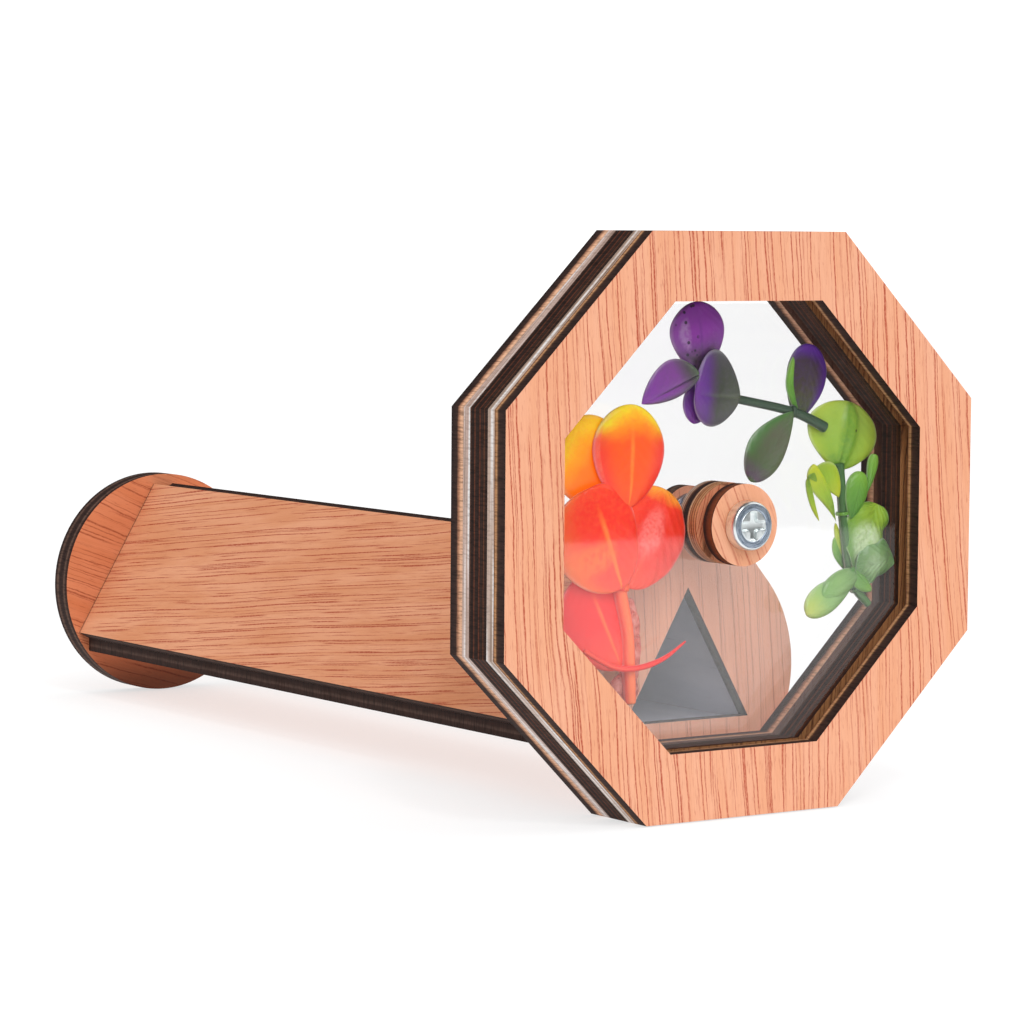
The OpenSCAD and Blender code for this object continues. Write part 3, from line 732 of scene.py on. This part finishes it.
# Painted shading on the stems: the vein colour runs as a lighter stripe down their front and back and the
# rim colour lies on the sides seen from the front, pink-red on the orange stem.
stem_orange = leaf_plastic(
    "stem_orange", [(0, 255, 106, 66), (1, 255, 130, 76)], (252, 74, 70), (255, 150, 90), 0.8, 0.5)
stem_dark = leaf_plastic(
    "stem_dark_green", [(0, 58, 72, 58), (1, 66, 92, 70)], (48, 64, 54), (84, 106, 84), 0.6, 0.3, gloss=0.3)
stem_green = leaf_plastic(
    "stem_green", [(0, 64, 104, 56), (1, 84, 128, 66)], (52, 84, 48), (110, 150, 84), 0.6, 0.3)


def glue_haze(name, dense, pale, clearest, cloudiest):
    """Cloudy hot glue, clearer in patches."""
    t = Shader(name)
    spot = t.coordinate("Object")
    clouds = t.noise(spot, 700.0, 3.0, 0.6)
    fine = t.noise(spot, 2600.0, 2.0)
    colour = t.mix(t.spread(clouds, 0.35, 0.7), dense, pale)
    return t.finish(t.principled(Base_Color=colour, Roughness=fine * 0.2 + 0.2, Normal=t.bump(clouds, 0.2),
                                 Alpha=t.spread(clouds, 0.25, 0.75, clearest, cloudiest)))


# ---------------------------------------------------------------- sprig shapes

COLUMNS = (-1.0, -0.965, -0.88, -0.74, -0.56, -0.38, -0.22, -0.1, -0.04, 0.0,
           0.04, 0.1, 0.22, 0.38, 0.56, 0.74, 0.88, 0.965, 1.0)
ROWS = 26
CREASE_WIDE = 0.06
PLEAT_EDGE = 0.08
LUMP_SCALE = 0.28
RUFFLE_SCALE = 4.6


class Piece:
    """Gathers the shells of one moulded piece, each with its own material."""

    def __init__(self, name):
        self.name, self.mesh = name, bmesh.new()
        self.spot = self.mesh.verts.layers.float_vector.new("leaf_place")
        self.materials = []

    def slot_of(self, material):
        if material not in self.materials:
            self.materials.append(material)
        return self.materials.index(material)

    def vertex(self, x, y, z, u, s, raised=0.0):
        made = self.mesh.verts.new(place(x, y, z))
        made[self.spot] = (u, s, raised)
        return made

    def face(self, corners, slot):
        kept = []
        for corner in corners:
            if corner not in kept:
                kept.append(corner)
        if len(kept) > 2:
            made = self.mesh.faces.new(kept)
            made.smooth = True
            made.material_index = slot

    def leaf(self, material, base, tip, left, right, y_base, y_tip, widest=0.6, full=0.5, cup=0.5,
             arch=0.3, bend=0.0, thick=0.85, crease=0.12, lump=0.14, fold=0.0, wave=0.0, pleat=None,
             ruffle=0.0):
        """A leaf from base to tip, as [x, z]. left and right are the half widths seen from the front.

        widest is where along it is widest, and a smaller full makes blunter ends. cup sets its rim behind
        its middle, arch bulges its middle forwards, bend curves its midrib sideways, fold folds it along
        the midrib, crease sinks the midrib near the base, lump makes it uneven, wave ripples its rim and
        ruffle makes its outline uneven. pleat, as (from, to, rise), lifts a band like a fold of cloth.
        """
        slot = self.slot_of(material)
        base, tip = Vector(base), Vector(tip)
        run = tip - base
        length = run.length
        ahead = run / length
        beside = Vector((ahead.y, -ahead.x))
        power = math.log(0.5) / math.log(widest)
        grid = {}
        for i in range(ROWS + 1):
            u = (1 - math.cos(math.pi * i / ROWS)) / 2
            swell = max(0.0, math.sin(math.pi * u ** power)) ** full
            middle = base + run * u + beside * bend * math.sin(math.pi * u)
            ends = i in (0, ROWS)
            for j, s in enumerate(COLUMNS):
                half = (left if s < 0 else right) * swell
                side_seed = 2.0 if s < 0 else 7.0
                half *= 1 + ruffle * noise.noise(Vector((u * RUFFLE_SCALE, side_seed, y_base * 3)))
                flat = middle + beside * (s * half)
                y = y_base + (y_tip - y_base) * u - arch * math.sin(math.pi * u) + cup * s * s * swell
                y += fold * abs(s) * swell
                y += wave * math.sin(u * 9 + s * 2) * abs(s) ** 3
                y += crease * math.exp(-(s / CREASE_WIDE) ** 2) * (1 - u)
                y += lump * noise.noise(Vector((flat.x * LUMP_SCALE, flat.y * LUMP_SCALE, y_base)))
                raised = 0.0
                if pleat:
                    start, end, rise = pleat
                    raised = ease(s, start - PLEAT_EDGE, start + PLEAT_EDGE)
                    raised *= ease(s, end + PLEAT_EDGE, end - PLEAT_EDGE)
                    y -= rise * raised * min(1.0, swell)
                wall = thick / 2 * max(0.0, 1 - abs(s) ** 5) ** 0.5 * min(1.0, swell * 2.2)
                if ends or j in (0, len(COLUMNS) - 1):
                    key = (i, "end") if ends else (i, j)
                    if key not in grid:
                        grid[key] = self.vertex(flat.x, y, flat.y, u, s, raised)
                    for side in (0, 1):
                        grid[i, j, side] = grid[key]
                else:
                    for side, sign in ((0, -1), (1, 1)):
                        grid[i, j, side] = self.vertex(flat.x, y + sign * wall, flat.y, u, s, raised)
        for i in range(ROWS):
            for j in range(len(COLUMNS) - 1):
                near = [grid[i, j, 0], grid[i, j + 1, 0], grid[i + 1, j + 1, 0], grid[i + 1, j, 0]]
                far = [grid[i, j, 1], grid[i + 1, j, 1], grid[i + 1, j + 1, 1], grid[i, j + 1, 1]]
                self.face(near, slot)
                self.face(far, slot)

    def stalk(self, material, route, radii):
        """A round stalk along [x, y, z] points with a radius at each, closed with flat cut ends."""
        slot = self.slot_of(material)
        sides, rings, ridge, unevenness = 14, 10, 0.06, 0.05
        points = [Vector(p) for p in route]
        path = []
        for i in range(len(points) - 1):
            before, after = points[max(i - 1, 0)], points[min(i + 2, len(points) - 1)]
            for k in range(rings):
                f = k / rings
                spot = 0.5 * ((2 * points[i]) + (points[i + 1] - before) * f
                              + (2 * before - 5 * points[i] + 4 * points[i + 1] - after) * f * f
                              + (3 * points[i] - before - 3 * points[i + 1] + after) * f ** 3)
                path.append((spot, radii[i] + (radii[i + 1] - radii[i]) * f))
        path.append((points[-1], radii[-1]))
        loops = []
        for i, (spot, radius) in enumerate(path):
            ahead = (path[min(i + 1, len(path) - 1)][0] - path[max(i - 1, 0)][0]).normalized()
            first = ahead.cross(Vector(AXIS_Y)).normalized()
            second = first.cross(ahead)
            loop = []
            for k in range(sides):
                angle = math.tau * k / sides
                bumps = unevenness * noise.noise(spot * 0.9 + Vector((k, 0, 0)))
                r = radius * (1 + ridge * math.cos(2 * angle) + bumps)
                q = spot + (first * math.cos(angle) + second * math.sin(angle)) * r
                # s is the cosine round the stalk, so the shader's rim lands on the sides seen from the
                # front and its vein down the front and back: painted shading.
                loop.append(self.vertex(q.x, q.y, q.z, i / (len(path) - 1), math.cos(angle)))
            loops.append(loop)
        for a, b in zip(loops, loops[1:]):
            for k in range(sides):
                self.face([a[k], a[(k + 1) % sides], b[(k + 1) % sides], b[k]], slot)
        self.face(loops[0][::-1], slot)
        self.face(loops[-1], slot)

    def collar(self, material, centre, ahead, radius, thick, tall):
        """A moulded ring round a stem, with rounded lips."""
        slot = self.slot_of(material)
        around, lips = 28, 8
        centre, ahead = Vector(centre), Vector(ahead).normalized()
        first = ahead.cross(Vector(AXIS_Y)).normalized()
        second = first.cross(ahead)
        loops = []
        for i in range(around):
            angle = math.tau * i / around
            out = first * math.cos(angle) + second * math.sin(angle)
            loop = []
            for k in range(lips):
                lip = math.tau * k / lips
                q = centre + out * (radius + thick * math.cos(lip)) + ahead * (tall * math.sin(lip))
                loop.append(self.vertex(q.x, q.y, q.z, 0.5, math.cos(angle)))
            loops.append(loop)
        for i in range(around):
            a, b = loops[i], loops[(i + 1) % around]
            for k in range(lips):
                self.face([a[k], b[k], b[(k + 1) % lips], a[(k + 1) % lips]], slot)

    def blob(self, material, centre, radii, bumps=0.16):
        """A set drop of glue."""
        slot = self.slot_of(material)
        around, up = 24, 14
        centre = Vector(centre)
        loops = []
        for i in range(up + 1):
            polar = math.pi * i / up
            loop = []
            for k in range(around):
                angle = math.tau * k / around
                level = math.sin(polar)
                out = Vector((level * math.cos(angle), math.cos(polar), level * math.sin(angle)))
                size = 1 + bumps * noise.noise(out * 1.7 + centre)
                q = centre + Vector([out[n] * radii[n] * size for n in range(3)])
                if i in (0, up) and loop:
                    loop.append(loop[0])
                else:
                    loop.append(self.vertex(q.x, q.y, q.z, i / up, 0.0))
            loops.append(loop)
        for a, b in zip(loops, loops[1:]):
            for k in range(around):
                self.face([a[k], a[(k + 1) % around], b[(k + 1) % around], b[k]], slot)

    def finish(self, nodes, slot):
        bmesh.ops.recalc_face_normals(self.mesh, faces=self.mesh.faces[:])
        made = object_from(self.mesh, self.name, self.materials)
        smoother = made.modifiers.new("smooth", "SUBSURF")
        smoother.levels = smoother.render_levels = 1
        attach(made, "wheel")
        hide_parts(*nodes)


# Middle of the chamber, where the stems run
STEM_Y = (layer_span("wheel_front_window")[1] + layer_span("wheel_rear_window")[0]) / 2

# The orange sprig
stem = Piece("orange_stem")
stem.stalk(stem_orange,
           [(-19.8, STEM_Y, 2.5), (-20.9, STEM_Y, -4.5), (-21.1, STEM_Y, -10.6), (-19.6, STEM_Y, -17.5),
            (-19.1, STEM_Y, -24), (-18.8, STEM_Y, -30.3)], [1.0, 1.15, 1.25, 1.2, 1.2, 1.1])
stem.finish(["orange_sprig_stem"], "orange_red_plastic")

upper = Piece("orange_upper_leaves")
upper.leaf(leaf_top_orange, (-20.3, 3.3), (-19.7, 20.8), 7.5, 7.8, 6.7, 7.0, widest=0.56, cup=1.1,
           arch=0.5)
upper.leaf(leaf_back_orange, (-19.9, 4.2), (-30.2, 18.4), 9.2, 6.0, 8.4, 8.2, widest=0.56, arch=0.2)
upper.stalk(leaf_back_orange, [(-20, STEM_Y, 1.5), (-20.1, 8.2, 3.2), (-20.3, 8.6, 5.2)], [0.9, 0.8, 0.5])
upper.finish(["orange_sprig_upper_leaves"], "orange_yellow_plastic")

middle = Piece("orange_middle_leaves")
middle.leaf(leaf_right_red, (-19.7, -10.4), (-12.1, 6.2), 7.6, 8.2, 7.0, 7.4, widest=0.56, full=0.44,
            cup=0.9, arch=0.4, lump=0.5)
middle.leaf(leaf_big_red, (-21.9, -10.4), (-28.4, 7.0), 10.6, 7.4, 6.3, 6.6, widest=0.57, full=0.36,
            cup=0.9, arch=0.5, lump=0.3)
middle.collar(leaf_big_red, (-21.0, STEM_Y, -10.2), (0.1, 0, 1), 1.35, 0.3, 0.7)
middle.finish(["orange_sprig_middle_leaves"], "orange_red_plastic")

lower = Piece("orange_lower_leaf")
lower.leaf(leaf_low_red, (-20.4, -24.2), (-28.4, -7.4), 8.8, 5.0, 8.2, 8.4, widest=0.56, cup=0.7)
lower.stalk(leaf_low_red,
            [(-29.6, 6.3, -20.4), (-23.8, 6.2, -23.4), (-19.6, 6.1, -24.0), (-15.6, 6.2, -23.5),
             (-12.0, 6.3, -22.3), (-8.0, 6.5, -20.0)], [0.4, 0.5, 0.5, 0.5, 0.38, 0.16])
lower.collar(leaf_low_red, (-19.1, STEM_Y, -24.0), (0.05, 0, 1), 1.3, 0.22, 0.5)
lower.finish(["orange_sprig_lower_leaf"], "orange_red_plastic")

# The purple sprig
stem = Piece("purple_stem")
stem.stalk(stem_dark, [(0.6, 7.0, 21.7), (3.2, STEM_Y, 21.2), (15.7, STEM_Y, 18.7), (23.2, STEM_Y, 15.7)],
           [0.55, 0.75, 0.8, 1.0])
stem.finish(["purple_sprig_stem"], "dark_green_plastic")

back = Piece("purple_back_leaves")
back.leaf(leaf_violet, (-3.4, 24.6), (-5.0, 38.0), 6.0, 5.9, 8.9, 8.6, widest=0.62, full=0.55, cup=0.7,
          arch=0.5)
back.leaf(leaf_small_violet, (-3.2, 25.4), (-5.0, 17.0), 3.4, 3.0, 8.9, 9.0, widest=0.56, full=0.6,
          cup=0.4, arch=0.2)
back.finish(["purple_sprig_back_leaves"], "purple_plastic")

end = Piece("purple_end_leaves")
end.leaf(leaf_pointed, (-5.4, 25.6), (-17.8, 20.8), 1.9, 4.9, 6.8, 6.6, widest=0.44, full=0.75, cup=0.6,
         fold=-0.4, crease=0.4)
end.leaf(leaf_slate_violet, (3.4, 21.4), (-6.6, 22.2), 5.4, 8.1, 6.8, 6.6, widest=0.56, cup=0.9,
         crease=0.25)
end.finish(["purple_sprig_end_leaves"], "purple_plastic")

near = Piece("purple_near_leaves")
near.leaf(leaf_dark_rim, (17.6, 17.4), (20.4, 30.4), 4.0, 5.0, 8.7, 8.8, full=0.44, cup=0.6)
near.leaf(leaf_green, (17.2, 18.2), (16.2, 28.2), 0.8, 0.8, 8.0, 8.3, widest=0.55, full=0.6, cup=0.2,
          arch=0.1, bend=-1.3, thick=0.8)
near.leaf(leaf_moss, (15.2, 18.8), (5.6, 7.0), 3.9, 4.4, 6.9, 6.6, full=0.6, cup=0.8)
near.collar(stem_dark, (15.6, STEM_Y, 18.7), (1, 0, -0.22), 0.95, 0.3, 0.5)
near.finish(["purple_sprig_near_leaves"], "dark_green_plastic")

# The green sprig
stem = Piece("green_stem")
stem.stalk(stem_green,
           [(26.2, STEM_Y, 9.4), (26.9, STEM_Y, 4.7), (27.4, STEM_Y, -0.3), (28.6, STEM_Y, -7.8),
            (30.0, STEM_Y, -12.3), (33.6, STEM_Y, -16.0)], [1.05, 0.85, 0.85, 0.85, 0.85, 0.7])
stem.finish(["green_sprig_stem"], "leaf_green_plastic")

top = Piece("green_top_leaf")
top.leaf(leaf_lime, (26.6, 8.2), (29.2, 20.2), 8.2, 8.2, 8.5, 9.0, widest=0.56, crease=0.3, lump=0.35,
         pleat=(-0.14, 0.3, 0.7))
top.finish(["green_sprig_top_leaf"], "leaf_green_plastic")

upper = Piece("green_upper_leaves")
upper.leaf(leaf_curled, (25.0, -0.8), (19.4, 9.5), 2.7, 0.9, 6.7, 6.4, widest=0.74, cup=0.3, bend=0.3,
           pleat=(-0.2, 0.5, 0.3))
upper.leaf(leaf_curled, (18.0, 7.2), (25.6, 3.4), 4.9, -3.4, 6.2, 6.8, widest=0.5, full=0.6, cup=0.4,
           arch=0.2, thick=0.6)
upper.leaf(leaf_curled, (18.2, 7.0), (21.4, -0.6), 0.7, 0.7, 6.4, 7.0, widest=0.3, full=0.7, cup=0.1,
           arch=0.1, bend=0.5, thick=0.5)
upper.leaf(leaf_green, (28.2, -0.4), (30.3, 7.9), 2.3, 2.9, 6.6, 6.6, widest=0.62, full=0.45, cup=0.7,
           arch=0.2)
upper.leaf(leaf_green, (30.0, 1.2), (34.0, 10.8), 1.1, 1.3, 6.9, 7.2, widest=0.84, full=0.4, cup=0.4,
           arch=0.1, bend=0.6)
upper.collar(leaf_green, (27.3, STEM_Y, 0.5), (0.12, 0, -1), 1.05, 0.25, 0.35)
upper.finish(["green_sprig_upper_leaves"], "leaf_green_plastic")

middle = Piece("green_middle_leaves")
middle.leaf(leaf_lobed, (28.9, -9.4), (34.8, 2.0), 5.2, 4.6, 7.0, 7.2, widest=0.66, full=0.42, lump=0.8,
            wave=0.6, ruffle=0.5)
middle.leaf(leaf_low_lobe, (28.8, -10.2), (38.4, -7.4), 4.6, 2.8, 6.5, 6.7, lump=0.8, wave=0.5,
            ruffle=0.5)
middle.leaf(leaf_curled, (28.9, -8.6), (26.4, -1.2), 0.9, 0.5, 8.6, 8.6, full=0.7, cup=0.2, arch=0.1,
            thick=0.5)
middle.leaf(leaf_green, (28.9, -9.8), (26.6, -3.6), 1.5, 0.5, 8.9, 8.9, full=0.6, cup=0.2, arch=0.1,
            thick=0.5)
middle.finish(["green_sprig_middle_leaves"], "leaf_green_plastic")

lower = Piece("green_lower_leaf")
lower.leaf(leaf_low_green, (29.6, -11.2), (18.2, -16.6), 2.9, 3.0, 6.9, 6.6, cup=0.7)
lower.leaf(leaf_fold_green, (30.4, -9.9), (21.4, -13.8), 2.5, 2.3, 6.6, 6.4, widest=0.5, cup=0.8,
           arch=0.4)
lower.leaf(leaf_green, (28.2, -9.0), (33.4, -13.4), 1.0, 2.0, 6.5, 6.8, widest=0.45, full=0.6, cup=0.3,
           arch=0.2)
lower.collar(stem_green, (30.4, STEM_Y, -12.8), (0.6, 0, -0.6), 1.0, 0.25, 0.4)
lower.finish(["green_sprig_lower_leaf"], "leaf_green_plastic")


def glue_dab(sprig, glue, x, z, wide, smear=None):
    """The dab on the rear window that holds a sprig.

    smear is a second, flat patch as (x, z, half width, half height).
    """
    window = layer_span("wheel_rear_window")[0]
    dab = Piece(sprig + "_glue")
    dab.blob(glue, (x, window - 1.15, z), (wide, 1.1, wide * 0.9))
    if smear:
        smear_x, smear_z, half_width, half_height = smear
        dab.blob(glue, (smear_x, window - 0.55, smear_z), (half_width, 0.45, half_height), bumps=0.5)
    dab.finish([sprig + "_glue_dab"], "hot_glue")


pale_glue = glue_haze("hot_glue", rgb(250, 196, 190), rgb(252, 228, 224), 0.12, 0.5)
rose_glue = glue_haze("hot_glue_rose", rgb(255, 122, 104), rgb(255, 172, 158), 0.3, 0.66)
glue_dab("orange", rose_glue, -19, -27.6, 3.1, smear=(-17.7, -20.4, 2.7, 8.2))
glue_dab("purple", pale_glue, 0.6, 21.9, 1.45)
glue_dab("green", pale_glue, 26.5, 5.7, 1.35)


# ---------------------------------------------------------------- floor, light and camera


def build_floor():
    """Pale table top: it ends a little in front of the wheel, as the gloss on the windows shows."""
    mesh = bmesh.new()
    front, back, side, below = -0.5597, 3.2, 2.6, 0.0002
    cells = 6
    rows = [[mesh.verts.new((-side + 2 * side * i / cells, front + (back - front) * j / cells, 0.0))
             for i in range(cells + 1)] for j in range(cells + 1)]
    for j in range(cells):
        for i in range(cells):
            mesh.faces.new((rows[j][i], rows[j][i + 1], rows[j + 1][i + 1], rows[j + 1][i]))
    t = Shader("pale_floor")
    mottle = t.noise(t.coordinate("Object"), 3.0)
    colour = t.mix(t.spread(mottle, 0.3, 0.7), rgb(164, 164, 164), rgb(161, 161, 162))
    material = t.finish(t.principled(Base_Color=colour, Roughness=0.8, Specular_IOR_Level=0.1,
                                     Emission_Color=WHITE, Emission_Strength=0.652))
    floor = object_from(mesh, "floor", [material])
    floor.location.z = -below


def build_world():
    """White surroundings for the view, an even grey glow for soft light, and little for gloss to catch."""
    world = bpy.data.worlds.new("studio")
    bpy.context.scene.world = world
    world.use_nodes = True
    tree = world.node_tree
    tree.nodes.clear()
    path = tree.nodes.new("ShaderNodeLightPath")

    def glow(strength):
        made = tree.nodes.new("ShaderNodeBackground")
        made.inputs["Color"].default_value = WHITE
        made.inputs["Strength"].default_value = strength
        return made.outputs[0]

    def choose(share, first, second):
        made = tree.nodes.new("ShaderNodeMixShader")
        tree.links.new(share, made.inputs[0])
        tree.links.new(first, made.inputs[1])
        tree.links.new(second, made.inputs[2])
        return made.outputs[0]

    lit = choose(path.outputs["Is Glossy Ray"], glow(0.78), glow(0.1))
    seen = choose(path.outputs["Is Camera Ray"], lit, glow(1.24))
    tree.links.new(seen, tree.nodes.new("ShaderNodeOutputWorld").inputs[0])


def soft_light(name, toward, strength, angle):
    """A broad light that shines from the direction toward."""
    light = bpy.data.lights.new(name, "SUN")
    light.energy, light.angle = strength, math.radians(angle)
    made = bpy.data.objects.new(name, light)
    made.rotation_euler = Vector(toward).to_track_quat("Z", "Y").to_euler()
    bpy.context.scene.collection.objects.link(made)


def build_camera():
    """A long lens in front of the wheel, to its left and about as high as its top."""
    lens, sensor = 130.92, 36.0
    eye = place(-390.64, -499.08, 51.11)
    yaw, pitch, roll = (math.radians(a) for a in (-34.42, 4.44, 0.43))
    ahead = Vector((-math.sin(yaw) * math.cos(pitch), math.cos(yaw) * math.cos(pitch), -math.sin(pitch)))
    right = ahead.cross(Vector(AXIS_Z)).normalized()
    up = right.cross(ahead)
    right, up = (right * math.cos(roll) + up * math.sin(roll), up * math.cos(roll) - right * math.sin(roll))
    data = bpy.data.cameras.new("camera")
    data.lens, data.sensor_width = lens, sensor
    camera = bpy.data.objects.new("camera", data)
    stand = Matrix((right, up, -ahead)).transposed().to_4x4()
    stand.translation = eye
    camera.matrix_world = stand
    bpy.context.scene.collection.objects.link(camera)
    bpy.context.scene.camera = camera


build_floor()
build_world()
soft_light("key", (-0.35, -0.75, 0.6), 1.15, 40)
soft_light("side", (0.75, -0.25, 0.65), 0.75, 50)
soft_light("glint", (-0.2, -0.62, 0.75), 0.4, 8)
build_camera()
bpy.context.scene.view_settings.view_transform = "Standard"
